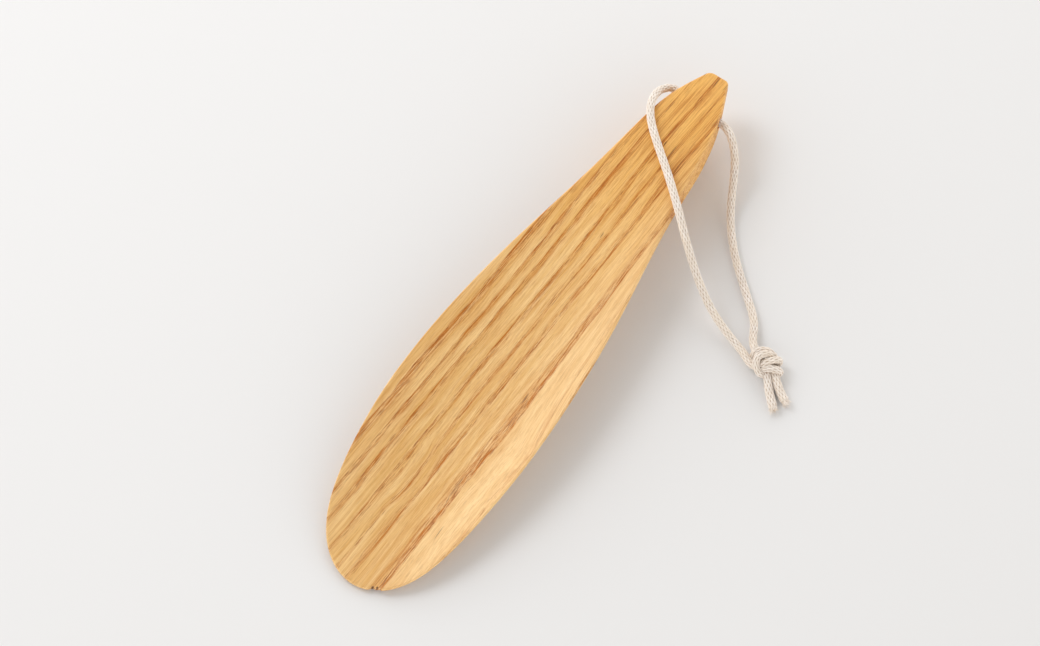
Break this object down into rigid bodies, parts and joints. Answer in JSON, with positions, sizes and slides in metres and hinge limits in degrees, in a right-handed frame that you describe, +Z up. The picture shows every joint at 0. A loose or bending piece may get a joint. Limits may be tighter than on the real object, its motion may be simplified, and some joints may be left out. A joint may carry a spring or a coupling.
{
  "type": "shoehorn",
  "caption": "Short hand-carved wooden shoehorn: dished teardrop blade, thick handle end with a cross hole, and a knotted loop of cotton cord to hang it by.",
  "frame": {"origin": "on the surface that the horn lies on, under the middle of the horn's own box", "axes": "+X along the horn to its handle end, +Y to its left, +Z up, out of the dished face"},
  "size_m": [0.2, 0.1015, 0.0265],
  "materials": {
    "wood": "satin",
    "cotton_cord": "matte"
  },
  "bodies": {
    "root": {"horn": "wood"},
    "loop": {"cord_in_hole": "cotton_cord", "cord_left_strand": "cotton_cord", "cord_right_strand": "cotton_cord", "cord_knot": "cotton_cord", "cord_tail_long": "cotton_cord", "cord_tail_short": "cotton_cord"}
  },
  "joints": [
    {"name": "loop_swing", "type": "hinge", "parent": "root", "child": "loop", "pos_m": [0.0875, 0, 0.0155], "axis": [0, 1, 0], "range_deg": [0, 180]}
  ]
}
